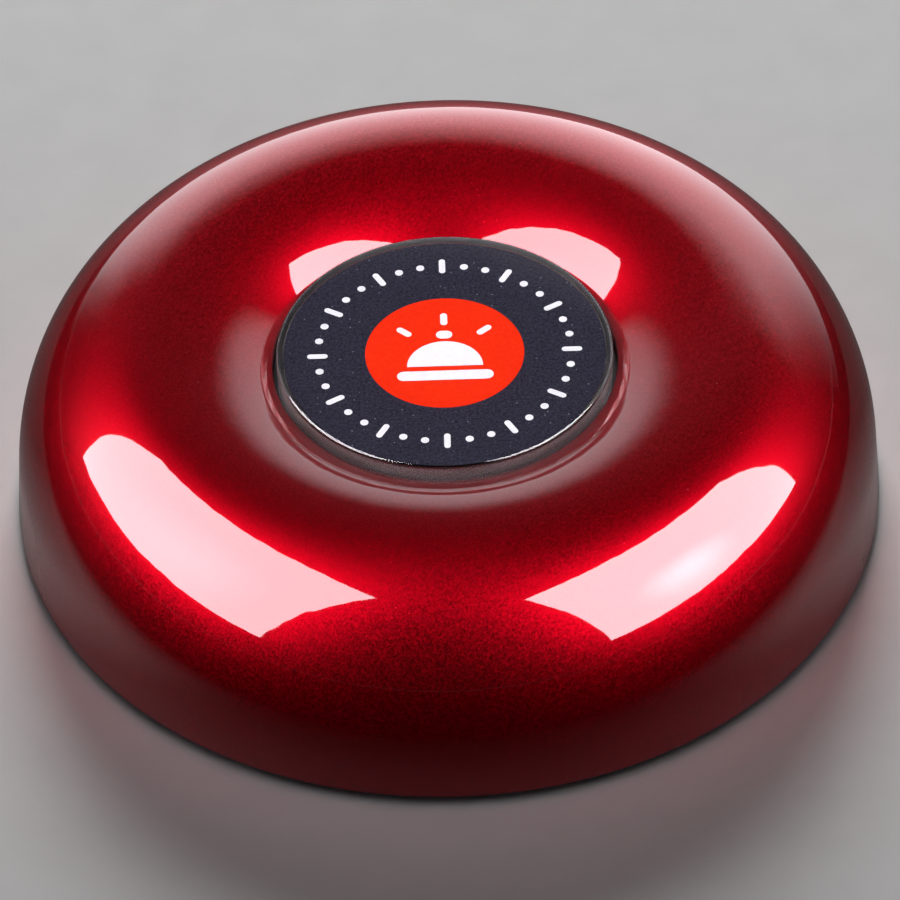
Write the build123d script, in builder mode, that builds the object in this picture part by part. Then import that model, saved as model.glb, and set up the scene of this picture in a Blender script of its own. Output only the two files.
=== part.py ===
from build123d import *

import os

# Wireless waiter call button, millimetres, +Z up.
# The origin is the centre of the plane that the rubber feet stand on.
# The case is a doughnut-shaped shell of revolution; the round cap sits in its dished well.

# ---- Driving dimensions: case ----
foot_proud = 0.8           # feet below the lower edge of the case
case_radius = 42.5         # at the lower edge
wall_height = 5.5          # drafted side wall below the shoulder
wall_draft = 0.35          # how far the side wall leans in over its height
crest_inset = 13.5         # from the lower edge in to where the ring is highest
well_radius = 17.0         # bore that the cap moves in
well_depth = 4.3           # from the crest of the ring down to the bore's mouth
shell_wall = 2.2
skirt_wall = 1.2           # guide skirt below the bore's mouth
rim_round = 0.4            # broken edge at the bore's mouth
lip_round = 0.3            # broken lower edge of the case

# ---- Driving dimensions: cap and carrier ----
cap_gap = 0.6              # round the cap in the bore
cap_proud = 1.4            # cap above the bore's mouth
cap_height = 3.2
cap_top = 0.8              # clear layer over the label
cap_side = 0.6
cap_round = 0.5
press_travel = 1.0
label_thickness = 0.25
guide_gap = 0.25           # carrier's guide ring in the bore
carrier_plate = 1.1
carrier_ring_wall = 1.3
guide_ring_height = 1.1
arm_wall = 1.2
arm_span = 18.0            # degrees
hook_height = 1.0
hook_inset = 0.2           # hook's tip inside the skirt's outer face
hook_lead = 0.8            # height of the sloping face under a hook
hook_gap = 0.1             # hook below its stop at rest
slot_play = 1.5            # degrees each side of a hook arm
press_room = 0.4           # left under the hooks when the cap is fully down
skirt_room = 0.8           # between the skirt and the board
fit_play = 0.1             # carrier in the cap
seat_play = 0.05           # between faces that just clear each other
collar_wall = 1.0          # collar that centres the spring
collar_height = 0.8

# ---- Driving dimensions: base plate ----
base_thickness = 1.8
base_gap = 0.2             # base plate in the case
rim_wall = 1.2
rim_height = 2.4
rim_gap = 0.3
rib_wall = 1.2
rib_height = 3.0
boss_inset = 8.5           # case screws, from the lower edge of the case
boss_radius = 3.2
post_radius = 3.6
post_height = 5.2          # lower edge of the case to the joint of post and boss
screw_shank = 1.25
screw_grip = 7.5           # how far the case screws go into the shell's bosses
screw_tip_room = 0.5
screw_tip = 0.5            # chamfer at the screws' tips
screw_head = 2.4
screw_head_height = 1.6
screw_recess = 2.4         # depth of the counterbores
screw_play = 0.2
thread_play = 0.05
driver_slot = 0.6          # cross recess in the screws' heads
driver_length = 2.6
driver_depth = 0.7
fastener_count = 3

# ---- Driving dimensions: feet ----
foot_radius = 5.0
foot_inset = 11.5          # middle of a foot, from the lower edge of the case
foot_seat = 0.8            # depth of the recess that a foot is glued in
foot_play = 0.15
foot_edge = 0.35

# ---- Driving dimensions: coin cell, its well and its door ----
cell_radius = 12.25        # 24.5 mm by 5.0 mm lithium cell
cell_height = 5.0
cell_can_height = 4.6
cell_cap_radius = 10.4
cell_edge = 0.35
cell_play = 0.2
door_flange = 0.9
door_radius = 15.0
door_play = 0.2
door_lift = 0.1            # running gap above the flange and under the lugs
ledge_radius = 13.2        # opening that the door's plug fills
ledge_height = 0.8         # thickness of the ledge that the lugs hook over
lug_height = 0.8
lug_reach = 1.2
lug_span = 24.0            # degrees
door_turn = 30.0           # degrees from locked to unlocked
lug_count = 3
coin_slot_length = 17.0
coin_slot_width = 2.0
coin_slot_depth = 1.1
well_wall = 1.2
well_play = 0.4
well_rib_count = 4
well_rib_span = 8.0        # degrees
well_drop = 0.4            # top of the well below the cell's can
notch_play = 1.5           # degrees each side of a lug
door_chamfer = 0.3

# ---- Driving dimensions: circuit board and what is on it ----
board_gap = 2.8            # between the board and the shell's screw bosses
board_thickness = 1.6
contact_room = 0.8         # between the cell and the board
contact_strip = 0.3
standoff_inset = 3.5       # from the board's edge
standoff_radius = 2.6
board_screw_shank = 0.95
board_screw_head = 1.9
board_screw_head_height = 1.2
board_screw_grip = 3.5
switch_side = 6.0
switch_body_height = 3.3
switch_plate = 0.3
switch_stroke = 0.25
switch_stem = 0.8          # plunger above the plate
rivet_radius = 0.45
rivet_inset = 0.85         # rivets from the switch's sides
rivet_height = 0.15
plunger_radius = 1.75
plunger_play = 0.1
plunger_depth = 1.2
pusher_radius = 2.15
pusher_length = 1.2        # below the carrier's plate
contact_margin = 0.05      # left between pusher and plunger at full press
spring_radius = 6.0
spring_wire = 0.6
spring_turn_count = 4.0
wire_side_count = 6        # round wire is drawn with flats
coil_radius = 2.1
coil_wire = 0.7
coil_pitch = 2.5
coil_turn_count = 4.0
terminal_foot = 1.2
terminal_rise = 1.6
terminal_width = 0.7
terminal_pitch = 4.5
lead_wall = 0.25
lead_width = 0.45
lead_pitch = 1.27
lead_reach = 1.0
inner_circle = 10.8        # parts between the spring and the skirt
crystal_length = 10.2
crystal_width = 3.8
crystal_height = 3.5
crystal_flange = 0.4
crystal_flange_height = 0.5
led_radius = 1.5
led_height = 4.0
led_flange = 0.4
led_flange_height = 0.9
chip_body_width = 3.9
chip_height = 1.6
encoder_length = 10.0
encoder_lead_count = 8     # on each side
transmitter_length = 5.0
transmitter_lead_count = 4 # on each side
small_chip_length = 2.0
small_chip_width = 1.25
capacitor_height = 1.0
resistor_height = 0.5
small_chip_count = 4
small_chip_turn = 8.0      # degrees from one small chip to the next
leaf_width = 5.0
leaf_touch = 4.0
tab_end = 17.5             # outer ends of both contacts' tabs, from the middle

# ---- Heights and radii that follow ----
case_z = foot_proud
shoulder_z = case_z + wall_height
floor_z = case_z + base_thickness
joint_z = case_z + post_height
cap_radius = well_radius - cap_gap
cap_inner_radius = cap_radius - cap_side
skirt_radius = well_radius + skirt_wall
base_radius = case_radius - wall_draft - shell_wall - base_gap
crest_radius = case_radius - crest_inset
boss_circle = case_radius - boss_inset
foot_circle = case_radius - foot_inset
board_radius = boss_circle - boss_radius - board_gap
standoff_circle = board_radius - standoff_inset
ring_circle = (skirt_radius + board_radius) / 2    # parts between the skirt and the board's edge

ledge_z = floor_z - ledge_height
lug_z = floor_z + door_lift
cell_z = lug_z + lug_height + door_lift
cell_can_z = cell_z + cell_can_height
cell_top_z = cell_z + cell_height
board_low_z = cell_top_z + contact_room
board_z = board_low_z + board_thickness

switch_top_z = board_z + switch_body_height
plate_top_z = switch_top_z + switch_plate
plunger_top_z = plate_top_z + switch_stem
pusher_z = plunger_top_z + press_travel - switch_stroke + contact_margin

# The cap stands on the switch, and the case is as high as the cap needs.
carrier_low_z = pusher_z + pusher_length
carrier_top_z = carrier_low_z + carrier_plate
label_top_z = carrier_top_z + label_thickness
cap_top_z = label_top_z + seat_play + cap_top
cap_low_z = cap_top_z - cap_height
mouth_z = cap_top_z - cap_proud
crest_z = mouth_z + well_depth
carrier_radius = cap_inner_radius - fit_play
guide_radius = well_radius - guide_gap
guide_top_z = cap_low_z - seat_play
guide_low_z = guide_top_z - guide_ring_height

hook_low_z = board_z + press_travel + press_room
hook_top_z = hook_low_z + hook_height
stop_z = hook_top_z + hook_gap
skirt_low_z = board_z + skirt_room
hook_radius = skirt_radius - hook_inset

boss_start = 90.0          # direction of the first case screw
foot_start = 30.0          # direction of the first foot and of the first board screw
hook_start = 90.0          # direction of the first hook
encoder_turn = 330.0       # direction of the encoder chip from the middle
crystal_turn = 210.0       # direction of the crystal from the middle


def ring_sector(inner, outer, span):
    """Plan of a curved lug, arm or notch, centred on the X axis."""
    with BuildSketch(mode=Mode.PRIVATE) as plan:
        with BuildLine():
            inside = CenterArc((0, 0), inner, -span / 2, span)
            outside = CenterArc((0, 0), outer, -span / 2, span)
            Line(inside @ 0, outside @ 0)
            Line(inside @ 1, outside @ 1)
        make_face()
    return plan.sketch


def case_line(inset):
    """Half outline of the ring from its side wall over the crest, moved in by a wall's thickness."""
    wall_low = (case_radius - inset, case_z)
    wall_top = (case_radius - wall_draft - inset, shoulder_z)
    rise = crest_z - shoulder_z - inset
    Line(wall_low, wall_top)
    EllipticalCenterArc(
        (crest_radius, shoulder_z), wall_top[0] - crest_radius, rise, start_angle=0, arc_size=90
    )


# ---- Top shell ----
# Space inside the shell, with the screw bosses left standing in it.
with BuildPart() as shell_space:
    with BuildSketch(Plane.XZ):
        with BuildLine():
            case_line(shell_wall)
            dish_low = (skirt_radius, mouth_z - shell_wall)
            TangentArc((crest_radius, crest_z - shell_wall), dish_low, tangent=(-1, 0))
            Polyline(
                dish_low,
                (skirt_radius, skirt_low_z),
                (0, skirt_low_z),
                (0, case_z),
                (case_radius - shell_wall, case_z),
            )
        make_face()
    revolve(axis=Axis.Z)
    with BuildSketch(Plane.XY.offset(joint_z)):
        with PolarLocations(boss_circle, fastener_count, boss_start):
            Circle(boss_radius)
    extrude(amount=crest_z - joint_z, mode=Mode.SUBTRACT)

with BuildPart() as top_shell:
    with BuildSketch(Plane.XZ) as section:
        with BuildLine():
            case_line(0)
            TangentArc((crest_radius, crest_z), (well_radius, mouth_z), tangent=(-1, 0))
            Polyline(
                (well_radius, mouth_z),
                (well_radius, skirt_low_z),
                (0, skirt_low_z),
                (0, case_z),
                (case_radius, case_z),
            )
        make_face()
        fillet(section.vertices().sort_by_distance((well_radius, mouth_z))[0], rim_round)
        fillet(section.vertices().sort_by_distance((case_radius, case_z))[0], lip_round)
    revolve(axis=Axis.Z)
    add(shell_space.part, mode=Mode.SUBTRACT)
    # Slots in the skirt: their closed ends stop the carrier's hooks.
    with BuildSketch(Plane.XY.offset(stop_z)):
        with PolarLocations(0, fastener_count, hook_start):
            add(
                ring_sector(
                    well_radius - skirt_wall, skirt_radius + skirt_wall, arm_span + 2 * slot_play
                )
            )
    extrude(amount=skirt_low_z - stop_z, mode=Mode.SUBTRACT)
    with BuildSketch(Plane.XY.offset(joint_z)):
        with PolarLocations(boss_circle, fastener_count, boss_start):
            Circle(screw_shank + thread_play)
    extrude(amount=screw_grip + screw_tip_room, mode=Mode.SUBTRACT)
top_shell.part.label = "top_shell"

# ---- Base plate ----
well_radius_low = ledge_radius + lug_reach + well_play
well_outer = well_radius_low + well_wall
well_top_z = cell_can_z - well_drop
well_rib_z = cell_z + door_lift
rim_radius = base_radius - rim_gap

with BuildPart() as base_plate:
    with BuildSketch(Plane.XY.offset(case_z)):
        Circle(base_radius)
    extrude(amount=base_thickness)
    # Locating rim inside the case's side wall.
    with BuildSketch(Plane.XY.offset(floor_z)):
        Circle(rim_radius)
        Circle(rim_radius - rim_wall, mode=Mode.SUBTRACT)
    extrude(amount=rim_height)
    # Battery well and the ribs that centre the cell in it.
    with BuildSketch(Plane.XY.offset(floor_z)):
        Circle(well_outer)
    extrude(amount=well_top_z - floor_z)
    with BuildSketch(Plane.XY.offset(floor_z)):
        Circle(well_radius_low)
    extrude(amount=well_top_z - floor_z, mode=Mode.SUBTRACT)
    with BuildSketch(Plane.XY.offset(well_rib_z)):
        with PolarLocations(0, well_rib_count, 180 / well_rib_count):
            add(ring_sector(cell_radius + cell_play, well_radius_low + well_wall / 2, well_rib_span))
    extrude(amount=well_top_z - well_rib_z)
    # Stiffening ribs from the well to the screw posts and the board standoffs.
    with BuildSketch(Plane.XY.offset(floor_z)):
        with PolarLocations((well_outer + boss_circle) / 2, fastener_count, boss_start):
            Rectangle(boss_circle - well_outer + well_wall, rib_wall)
        with PolarLocations((well_outer + standoff_circle) / 2, fastener_count, foot_start):
            Rectangle(standoff_circle - well_outer + well_wall, rib_wall)
    extrude(amount=rib_height)
    # Screw posts, which meet the shell's bosses end to end.
    with BuildSketch(Plane.XY.offset(case_z)):
        with PolarLocations(boss_circle, fastener_count, boss_start):
            Circle(post_radius)
    extrude(amount=post_height)
    with Locations(Plane.XY.offset(case_z)):
        with PolarLocations(boss_circle, fastener_count, boss_start):
            with Locations(Rotation(180, 0, 0)):
                CounterBoreHole(
                    radius=screw_shank + screw_play,
                    counter_bore_radius=screw_head + screw_play,
                    counter_bore_depth=screw_recess,
                    depth=post_height,
                )
    # Standoffs for the circuit board.
    with BuildSketch(Plane.XY.offset(floor_z)):
        with PolarLocations(standoff_circle, fastener_count, foot_start):
            Circle(standoff_radius)
    extrude(amount=board_low_z - floor_z)
    with BuildSketch(Plane.XY.offset(board_low_z)):
        with PolarLocations(standoff_circle, fastener_count, foot_start):
            Circle(board_screw_shank + thread_play)
    extrude(amount=-board_screw_grip - screw_tip_room, mode=Mode.SUBTRACT)
    # Recesses for the feet.
    with BuildSketch(Plane.XY.offset(case_z)):
        with PolarLocations(foot_circle, fastener_count, foot_start):
            Circle(foot_radius + foot_play)
    extrude(amount=foot_seat, mode=Mode.SUBTRACT)
    # Opening for the battery door: a recess for its flange, a ledge, and notches for its lugs.
    with BuildSketch(Plane.XY.offset(case_z)):
        Circle(door_radius + door_play)
    extrude(amount=ledge_z - case_z, mode=Mode.SUBTRACT)
    with BuildSketch(Plane.XY.offset(ledge_z)):
        Circle(ledge_radius)
        with PolarLocations(0, lug_count, -door_turn):
            add(
                ring_sector(
                    ledge_radius - lug_reach,
                    ledge_radius + lug_reach + door_play,
                    lug_span + 2 * notch_play,
                )
            )
    extrude(amount=ledge_height, mode=Mode.SUBTRACT)
base_plate.part.label = "base_plate"

# ---- Battery door ----
with BuildPart() as battery_door:
    with BuildSketch(Plane.XY.offset(case_z)):
        Circle(door_radius)
    extrude(amount=door_flange)
    with BuildSketch(Plane.XY.offset(case_z)):
        Circle(ledge_radius - door_play)
    extrude(amount=lug_z + lug_height - case_z)
    with BuildSketch(Plane.XY.offset(lug_z)):
        with PolarLocations(0, lug_count):
            add(ring_sector(ledge_radius - lug_reach, ledge_radius + lug_reach, lug_span))
    extrude(amount=lug_height)
    with BuildSketch(Plane.XY.offset(case_z)):
        SlotOverall(coin_slot_length, coin_slot_width)
    extrude(amount=coin_slot_depth, mode=Mode.SUBTRACT)
    chamfer(battery_door.faces().sort_by(Axis.Z)[0].outer_wire().edges(), door_chamfer)
battery_door.part.label = "battery_door"

# ---- Feet ----
with BuildPart() as rubber_feet:
    with BuildSketch(Plane.XY):
        with PolarLocations(foot_circle, fastener_count, foot_start):
            Circle(foot_radius)
    extrude(amount=case_z + foot_seat)
    chamfer(rubber_feet.edges().group_by(Axis.Z)[0], foot_edge)
rubber_feet.part.label = "rubber_feet"

# ---- Case screws ----
screw_seat_z = case_z + screw_recess
with BuildPart() as case_screws:
    with BuildSketch(Plane.XY.offset(screw_seat_z)):
        with PolarLocations(boss_circle, fastener_count, boss_start):
            Circle(screw_head)
    extrude(amount=-screw_head_height)
    with BuildSketch(Plane.XY.offset(screw_seat_z - screw_head_height)):
        with PolarLocations(boss_circle, fastener_count, boss_start):
            Rectangle(driver_length, driver_slot)
            Rectangle(driver_slot, driver_length)
    extrude(amount=driver_depth, mode=Mode.SUBTRACT)
    with BuildSketch(Plane.XY.offset(screw_seat_z)):
        with PolarLocations(boss_circle, fastener_count, boss_start):
            Circle(screw_shank)
    extrude(amount=joint_z + screw_grip - screw_seat_z)
    chamfer(case_screws.edges().group_by(Axis.Z)[-1], screw_tip)
case_screws.part.label = "case_screws"

# ---- Push cap, label and carrier ----
with BuildPart() as push_cap:
    with BuildSketch(Plane.XY.offset(cap_low_z)):
        Circle(cap_radius)
    extrude(amount=cap_height)
    fillet(push_cap.edges().group_by(Axis.Z)[-1], cap_round)
    with BuildSketch(Plane.XY.offset(cap_low_z)):
        Circle(cap_inner_radius)
    extrude(amount=cap_height - cap_top, mode=Mode.SUBTRACT)
push_cap.part.label = "push_cap"

with BuildPart() as label_disc:
    with BuildSketch(Plane.XY.offset(carrier_top_z)):
        Circle(carrier_radius)
    extrude(amount=label_thickness)
label_disc.part.label = "label_disc"

with BuildPart() as cap_carrier:
    with BuildSketch(Plane.XZ):
        with BuildLine():
            Polyline(
                (0, carrier_top_z),
                (carrier_radius, carrier_top_z),
                (carrier_radius, guide_top_z),
                (guide_radius, guide_top_z),
                (guide_radius, guide_low_z),
                (carrier_radius - carrier_ring_wall, guide_low_z),
                (carrier_radius - carrier_ring_wall, carrier_low_z),
                (0, carrier_low_z),
                close=True,
            )
        make_face()
    revolve(axis=Axis.Z)
    # Pusher over the switch, inside the collar that centres the spring.
    with BuildSketch(Plane.XY.offset(carrier_low_z)):
        Circle(pusher_radius)
    extrude(amount=pusher_z - carrier_low_z)
    with BuildSketch(Plane.XY.offset(carrier_low_z)):
        Circle(spring_radius - spring_wire)
        Circle(spring_radius - spring_wire - collar_wall, mode=Mode.SUBTRACT)
    extrude(amount=-collar_height)
    # Arms that carry the hooks.
    with BuildSketch(Plane.XY.offset(guide_low_z)):
        with PolarLocations(0, fastener_count, hook_start):
            add(ring_sector(guide_radius - arm_wall, guide_radius, arm_span))
    extrude(amount=hook_low_z - guide_low_z)
    with BuildSketch(Plane.XY.offset(hook_top_z)):
        with PolarLocations(0, fastener_count, hook_start):
            add(ring_sector(guide_radius - arm_wall / 2, hook_radius, arm_span))
    extrude(amount=-hook_height)
    hook_edges = cap_carrier.edges().filter_by(GeomType.CIRCLE).group_by(Axis.Z)[0]
    chamfer(hook_edges.group_by(SortBy.RADIUS)[-1], hook_lead, hook_radius - guide_radius)
cap_carrier.part.label = "cap_carrier"

# ---- Return spring: bears on the board round the switch and lifts the carrier ----
spring_height = carrier_low_z - board_z - spring_wire
with BuildPart() as return_spring:
    with BuildLine():
        spring_path = Helix(
            spring_height / spring_turn_count,
            spring_height,
            spring_radius,
            center=(0, 0, board_z + spring_wire / 2),
        )
    with BuildSketch(Plane(origin=spring_path @ 0, z_dir=spring_path % 0)):
        RegularPolygon(spring_wire / 2, wire_side_count)
    sweep(is_frenet=True)
return_spring.part.label = "return_spring"

# ---- Tactile switch ----
rivet_pitch = switch_side - 2 * rivet_inset
with BuildPart() as switch_housing:
    with BuildSketch(Plane.XY.offset(board_z)):
        Rectangle(switch_side, switch_side)
    extrude(amount=switch_body_height)
    with BuildSketch(Plane.XY.offset(switch_top_z)):
        Circle(plunger_radius + plunger_play)
    extrude(amount=-plunger_depth - switch_stroke - seat_play, mode=Mode.SUBTRACT)
switch_housing.part.label = "switch_housing"

with BuildPart() as switch_cover:
    with BuildSketch(Plane.XY.offset(switch_top_z)):
        Rectangle(switch_side, switch_side)
        Circle(plunger_radius + plunger_play, mode=Mode.SUBTRACT)
    extrude(amount=switch_plate)
    with BuildSketch(Plane.XY.offset(plate_top_z)):
        with GridLocations(rivet_pitch, rivet_pitch, 2, 2):
            Circle(rivet_radius)
    extrude(amount=rivet_height)
switch_cover.part.label = "switch_cover"

with BuildPart() as switch_plunger:
    with BuildSketch(Plane.XY.offset(switch_top_z - plunger_depth)):
        Circle(plunger_radius)
    extrude(amount=plunger_depth + switch_plate + switch_stem)
    chamfer(switch_plunger.edges().group_by(Axis.Z)[-1], plunger_play)
switch_plunger.part.label = "switch_plunger"

# Four terminals, two at each side of the switch, bent out flat on the board.
with BuildPart() as switch_terminals:
    for row in (-1, 1):
        with BuildSketch(Plane.XZ.offset(row * terminal_pitch / 2)):
            for side in (-1, 1):
                with Locations((side * (switch_side + terminal_foot) / 2, board_z + lead_wall / 2)):
                    Rectangle(terminal_foot, lead_wall)
                with Locations((side * (switch_side + lead_wall) / 2, board_z + terminal_rise / 2)):
                    Rectangle(lead_wall, terminal_rise)
        extrude(amount=terminal_width / 2, both=True)
switch_terminals.part.label = "switch_terminals"

# ---- Circuit board and its screws ----
with BuildPart() as circuit_board:
    with BuildSketch(Plane.XY.offset(board_low_z)):
        Circle(board_radius)
        with PolarLocations(standoff_circle, fastener_count, foot_start):
            Circle(board_screw_shank + screw_play, mode=Mode.SUBTRACT)
    extrude(amount=board_thickness)
circuit_board.part.label = "circuit_board"

with BuildPart() as board_screws:
    with BuildSketch(Plane.XY.offset(board_z)):
        with PolarLocations(standoff_circle, fastener_count, foot_start):
            Circle(board_screw_head)
    extrude(amount=board_screw_head_height)
    chamfer(board_screws.edges().group_by(Axis.Z)[-1], 0.3 * board_screw_head_height)
    with BuildSketch(Plane.XY.offset(board_z + board_screw_head_height)):
        with PolarLocations(standoff_circle, fastener_count, foot_start):
            Rectangle(driver_length, driver_slot)
            Rectangle(driver_slot, driver_length)
    extrude(amount=-driver_depth, mode=Mode.SUBTRACT)
    with BuildSketch(Plane.XY.offset(board_z)):
        with PolarLocations(standoff_circle, fastener_count, foot_start):
            Circle(board_screw_shank)
    extrude(amount=-board_thickness - board_screw_grip)
board_screws.part.label = "board_screws"


def leaded_chip(length, leads):
    """Small-outline chip on the board: a moulded body with flat leads along both long sides."""
    with BuildPart(mode=Mode.PRIVATE) as chip:
        with BuildSketch(Plane.XY.offset(lead_wall)):
            Rectangle(length, chip_body_width)
        extrude(amount=chip_height - lead_wall)
        with BuildSketch():
            with GridLocations(lead_pitch, 1, leads, 1):
                Rectangle(lead_width, chip_body_width + 2 * lead_reach)
        extrude(amount=2 * lead_wall)
    return chip.part


# ---- Chips, crystal, lamp and small chips ----
with BuildPart() as encoder_chip:
    with Locations(Plane.XY.offset(board_z)):
        with PolarLocations(ring_circle, 1, encoder_turn):
            with Locations(Rotation(0, 0, 90)):
                add(leaded_chip(encoder_length, encoder_lead_count))
encoder_chip.part.label = "encoder_chip"

with BuildPart() as transmitter_chip:
    with Locations(Plane.XY.offset(board_z)):
        with PolarLocations(inner_circle, 1, 180):
            with Locations(Rotation(0, 0, 90)):
                add(leaded_chip(transmitter_length, transmitter_lead_count))
transmitter_chip.part.label = "transmitter_chip"

with BuildPart() as quartz_crystal:
    with BuildSketch(Plane.XY.offset(board_z)):
        with PolarLocations(ring_circle, 1, crystal_turn):
            SlotOverall(crystal_length, crystal_width, rotation=90)
    extrude(amount=crystal_height)
    chamfer(quartz_crystal.edges().group_by(Axis.Z)[-1], crystal_flange)
    with BuildSketch(Plane.XY.offset(board_z)):
        with PolarLocations(ring_circle, 1, crystal_turn):
            SlotOverall(
                crystal_length + 2 * crystal_flange, crystal_width + 2 * crystal_flange, rotation=90
            )
    extrude(amount=crystal_flange_height)
quartz_crystal.part.label = "quartz_crystal"

with BuildPart() as indicator_led:
    with BuildSketch(Plane.XY.offset(board_z)):
        with Locations((inner_circle, 0)):
            Circle(led_radius)
    extrude(amount=led_height)
    fillet(indicator_led.edges().group_by(Axis.Z)[-1], 0.8 * led_radius)
    with BuildSketch(Plane.XY.offset(board_z)):
        with Locations((inner_circle, 0)):
            Circle(led_radius + led_flange)
    extrude(amount=led_flange_height)
indicator_led.part.label = "indicator_led"

small_chip_spread = small_chip_turn * (small_chip_count - 1)
with BuildPart() as chip_capacitors:
    with BuildSketch(Plane.XY.offset(board_z)):
        with PolarLocations(
            ring_circle,
            small_chip_count,
            180 - small_chip_spread / 2,
            small_chip_spread,
            endpoint=True,
        ):
            Rectangle(small_chip_length, small_chip_width)
    extrude(amount=capacitor_height)
chip_capacitors.part.label = "chip_capacitors"

with BuildPart() as chip_resistors:
    with BuildSketch(Plane.XY.offset(board_z)):
        with PolarLocations(
            ring_circle,
            small_chip_count,
            -small_chip_spread / 2,
            small_chip_spread,
            endpoint=True,
        ):
            Rectangle(small_chip_length, small_chip_width)
    extrude(amount=resistor_height)
chip_resistors.part.label = "chip_resistors"

# ---- Antenna: a wire coil lying over the board, with a leg at each end ----
coil_length = coil_pitch * coil_turn_count
coil_z = board_z + coil_radius + coil_wire
with BuildPart() as antenna_coil:
    with BuildLine():
        coil_path = Helix(
            coil_pitch,
            coil_length,
            coil_radius,
            center=(-coil_length / 2, ring_circle, coil_z),
            direction=(1, 0, 0),
        )
    with BuildSketch(Plane(origin=coil_path @ 0, z_dir=coil_path % 0)):
        RegularPolygon(coil_wire / 2, wire_side_count)
    sweep(is_frenet=True)
    for end in (coil_path @ 0, coil_path @ 1):
        with BuildSketch(Plane.XY.offset(board_z)):
            with Locations((end.X, end.Y)):
                Circle(coil_wire / 2)
        extrude(amount=end.Z - board_z)
antenna_coil.part.label = "antenna_coil"

# ---- Coin cell and its contacts ----
with BuildPart() as coin_cell:
    with BuildSketch(Plane.XY.offset(cell_z)):
        Circle(cell_radius)
    extrude(amount=cell_can_height)
    chamfer(coin_cell.edges().filter_by(GeomType.CIRCLE), cell_edge)
    with BuildSketch(Plane.XY.offset(cell_can_z)):
        Circle(cell_cap_radius)
    extrude(amount=cell_height - cell_can_height)
coin_cell.part.label = "coin_cell"

# Leaf that presses on the middle of the cell's small pole.
tab_low_z = board_low_z - contact_strip
leaf_bend = cell_radius + 1
with BuildPart() as negative_contact:
    with BuildSketch(Plane.XZ):
        with BuildLine():
            Polyline(
                (tab_end, board_low_z),
                (tab_end, tab_low_z),
                (leaf_bend, tab_low_z),
                (leaf_touch, cell_top_z),
                (-leaf_touch, cell_top_z),
                (-leaf_touch, cell_top_z + contact_strip),
                (leaf_touch, cell_top_z + contact_strip),
                (leaf_bend, board_low_z),
                close=True,
            )
        make_face()
    extrude(amount=leaf_width / 2, both=True)
negative_contact.part.label = "negative_contact"

# Strip beside the cell's can, which is the large pole.
strip_x = -cell_radius - thread_play
strip_low_z = cell_z + cell_can_height / 3
with BuildPart() as positive_contact:
    with BuildSketch(Plane.XZ):
        with BuildLine():
            Polyline(
                (-tab_end, board_low_z),
                (strip_x, board_low_z),
                (strip_x, strip_low_z),
                (strip_x - contact_strip, strip_low_z),
                (strip_x - contact_strip, tab_low_z),
                (-tab_end, tab_low_z),
                close=True,
            )
        make_face()
    extrude(amount=leaf_width / 2, both=True)
positive_contact.part.label = "positive_contact"

# ---- Export ----
pieces = [
    top_shell,
    base_plate,
    battery_door,
    rubber_feet,
    case_screws,
    push_cap,
    label_disc,
    cap_carrier,
    return_spring,
    switch_housing,
    switch_cover,
    switch_plunger,
    switch_terminals,
    circuit_board,
    board_screws,
    encoder_chip,
    transmitter_chip,
    quartz_crystal,
    indicator_led,
    chip_capacitors,
    chip_resistors,
    antenna_coil,
    coin_cell,
    negative_contact,
    positive_contact,
]
os.makedirs("parts", exist_ok=True)
for piece in pieces:
    export_step(piece.part, f"parts/{piece.part.label}.step")
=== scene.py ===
import math

import bpy
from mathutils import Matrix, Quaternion, Vector


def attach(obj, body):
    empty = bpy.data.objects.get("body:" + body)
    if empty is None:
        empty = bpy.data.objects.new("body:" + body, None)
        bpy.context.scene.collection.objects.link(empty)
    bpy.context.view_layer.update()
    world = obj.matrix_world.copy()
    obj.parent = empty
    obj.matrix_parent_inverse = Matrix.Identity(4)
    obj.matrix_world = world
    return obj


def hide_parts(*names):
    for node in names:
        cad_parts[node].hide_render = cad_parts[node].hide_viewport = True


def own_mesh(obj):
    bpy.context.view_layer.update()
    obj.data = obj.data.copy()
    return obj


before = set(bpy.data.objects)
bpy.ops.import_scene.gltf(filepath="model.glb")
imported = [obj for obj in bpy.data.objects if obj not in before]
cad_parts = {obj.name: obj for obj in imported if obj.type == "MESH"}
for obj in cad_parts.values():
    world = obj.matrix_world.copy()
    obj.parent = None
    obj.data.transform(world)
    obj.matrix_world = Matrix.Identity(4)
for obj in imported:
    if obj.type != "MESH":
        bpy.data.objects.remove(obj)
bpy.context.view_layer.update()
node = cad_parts

# Waiter call button: a candy-red doughnut of a case with a clear cap in its dished well.
# Sizes are in millimetres until a mesh is made; Z is up and -Y is the front.
MM = 0.001
FINE = 256                  # steps round a turned piece

# ---- Case ----
case_radius = 42.5
case_z = 0.8                # lower edge
lip_round = 0.3
wall_lean = 3.28            # degrees
shoulder_z = 6.3
shoulder_start = 4.48       # degrees, where the shoulder takes over from the side wall
shoulder_out = 13.15
crest_radius = 29.0
crest_z = 22.5
well_radius = 17.0
mouth_z = 18.2
rim_radius = 16.85          # the bore widens downwards from here
rim_round = 0.15
skirt_radius = 18.2
skirt_z = 11.8
shell_wall = 2.2
stop_z = 13.5               # closed ends of the hook slots
slot_span = 21.0            # degrees
hook_directions = (90, 210, 330)
boss_circle = 34.0
boss_radius = 3.2
boss_z = 6.0
screw_bore = 1.3
screw_bore_top = 14.0

# ---- Cap and label ----
cap_radius = 16.4
cap_low = 16.4
cap_high = 19.6
cap_wall = 0.6
cap_layer = 0.8             # clear layer over the label
cap_round = 0.35
label_z = 18.75
ink = 0.02
middle_radius = 7.75        # orange-red middle of the label
mark_circle = 12.4
mark_count = 36
bar_length = 2.0
bar_width = 0.62
dot_width = 0.8

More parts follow.
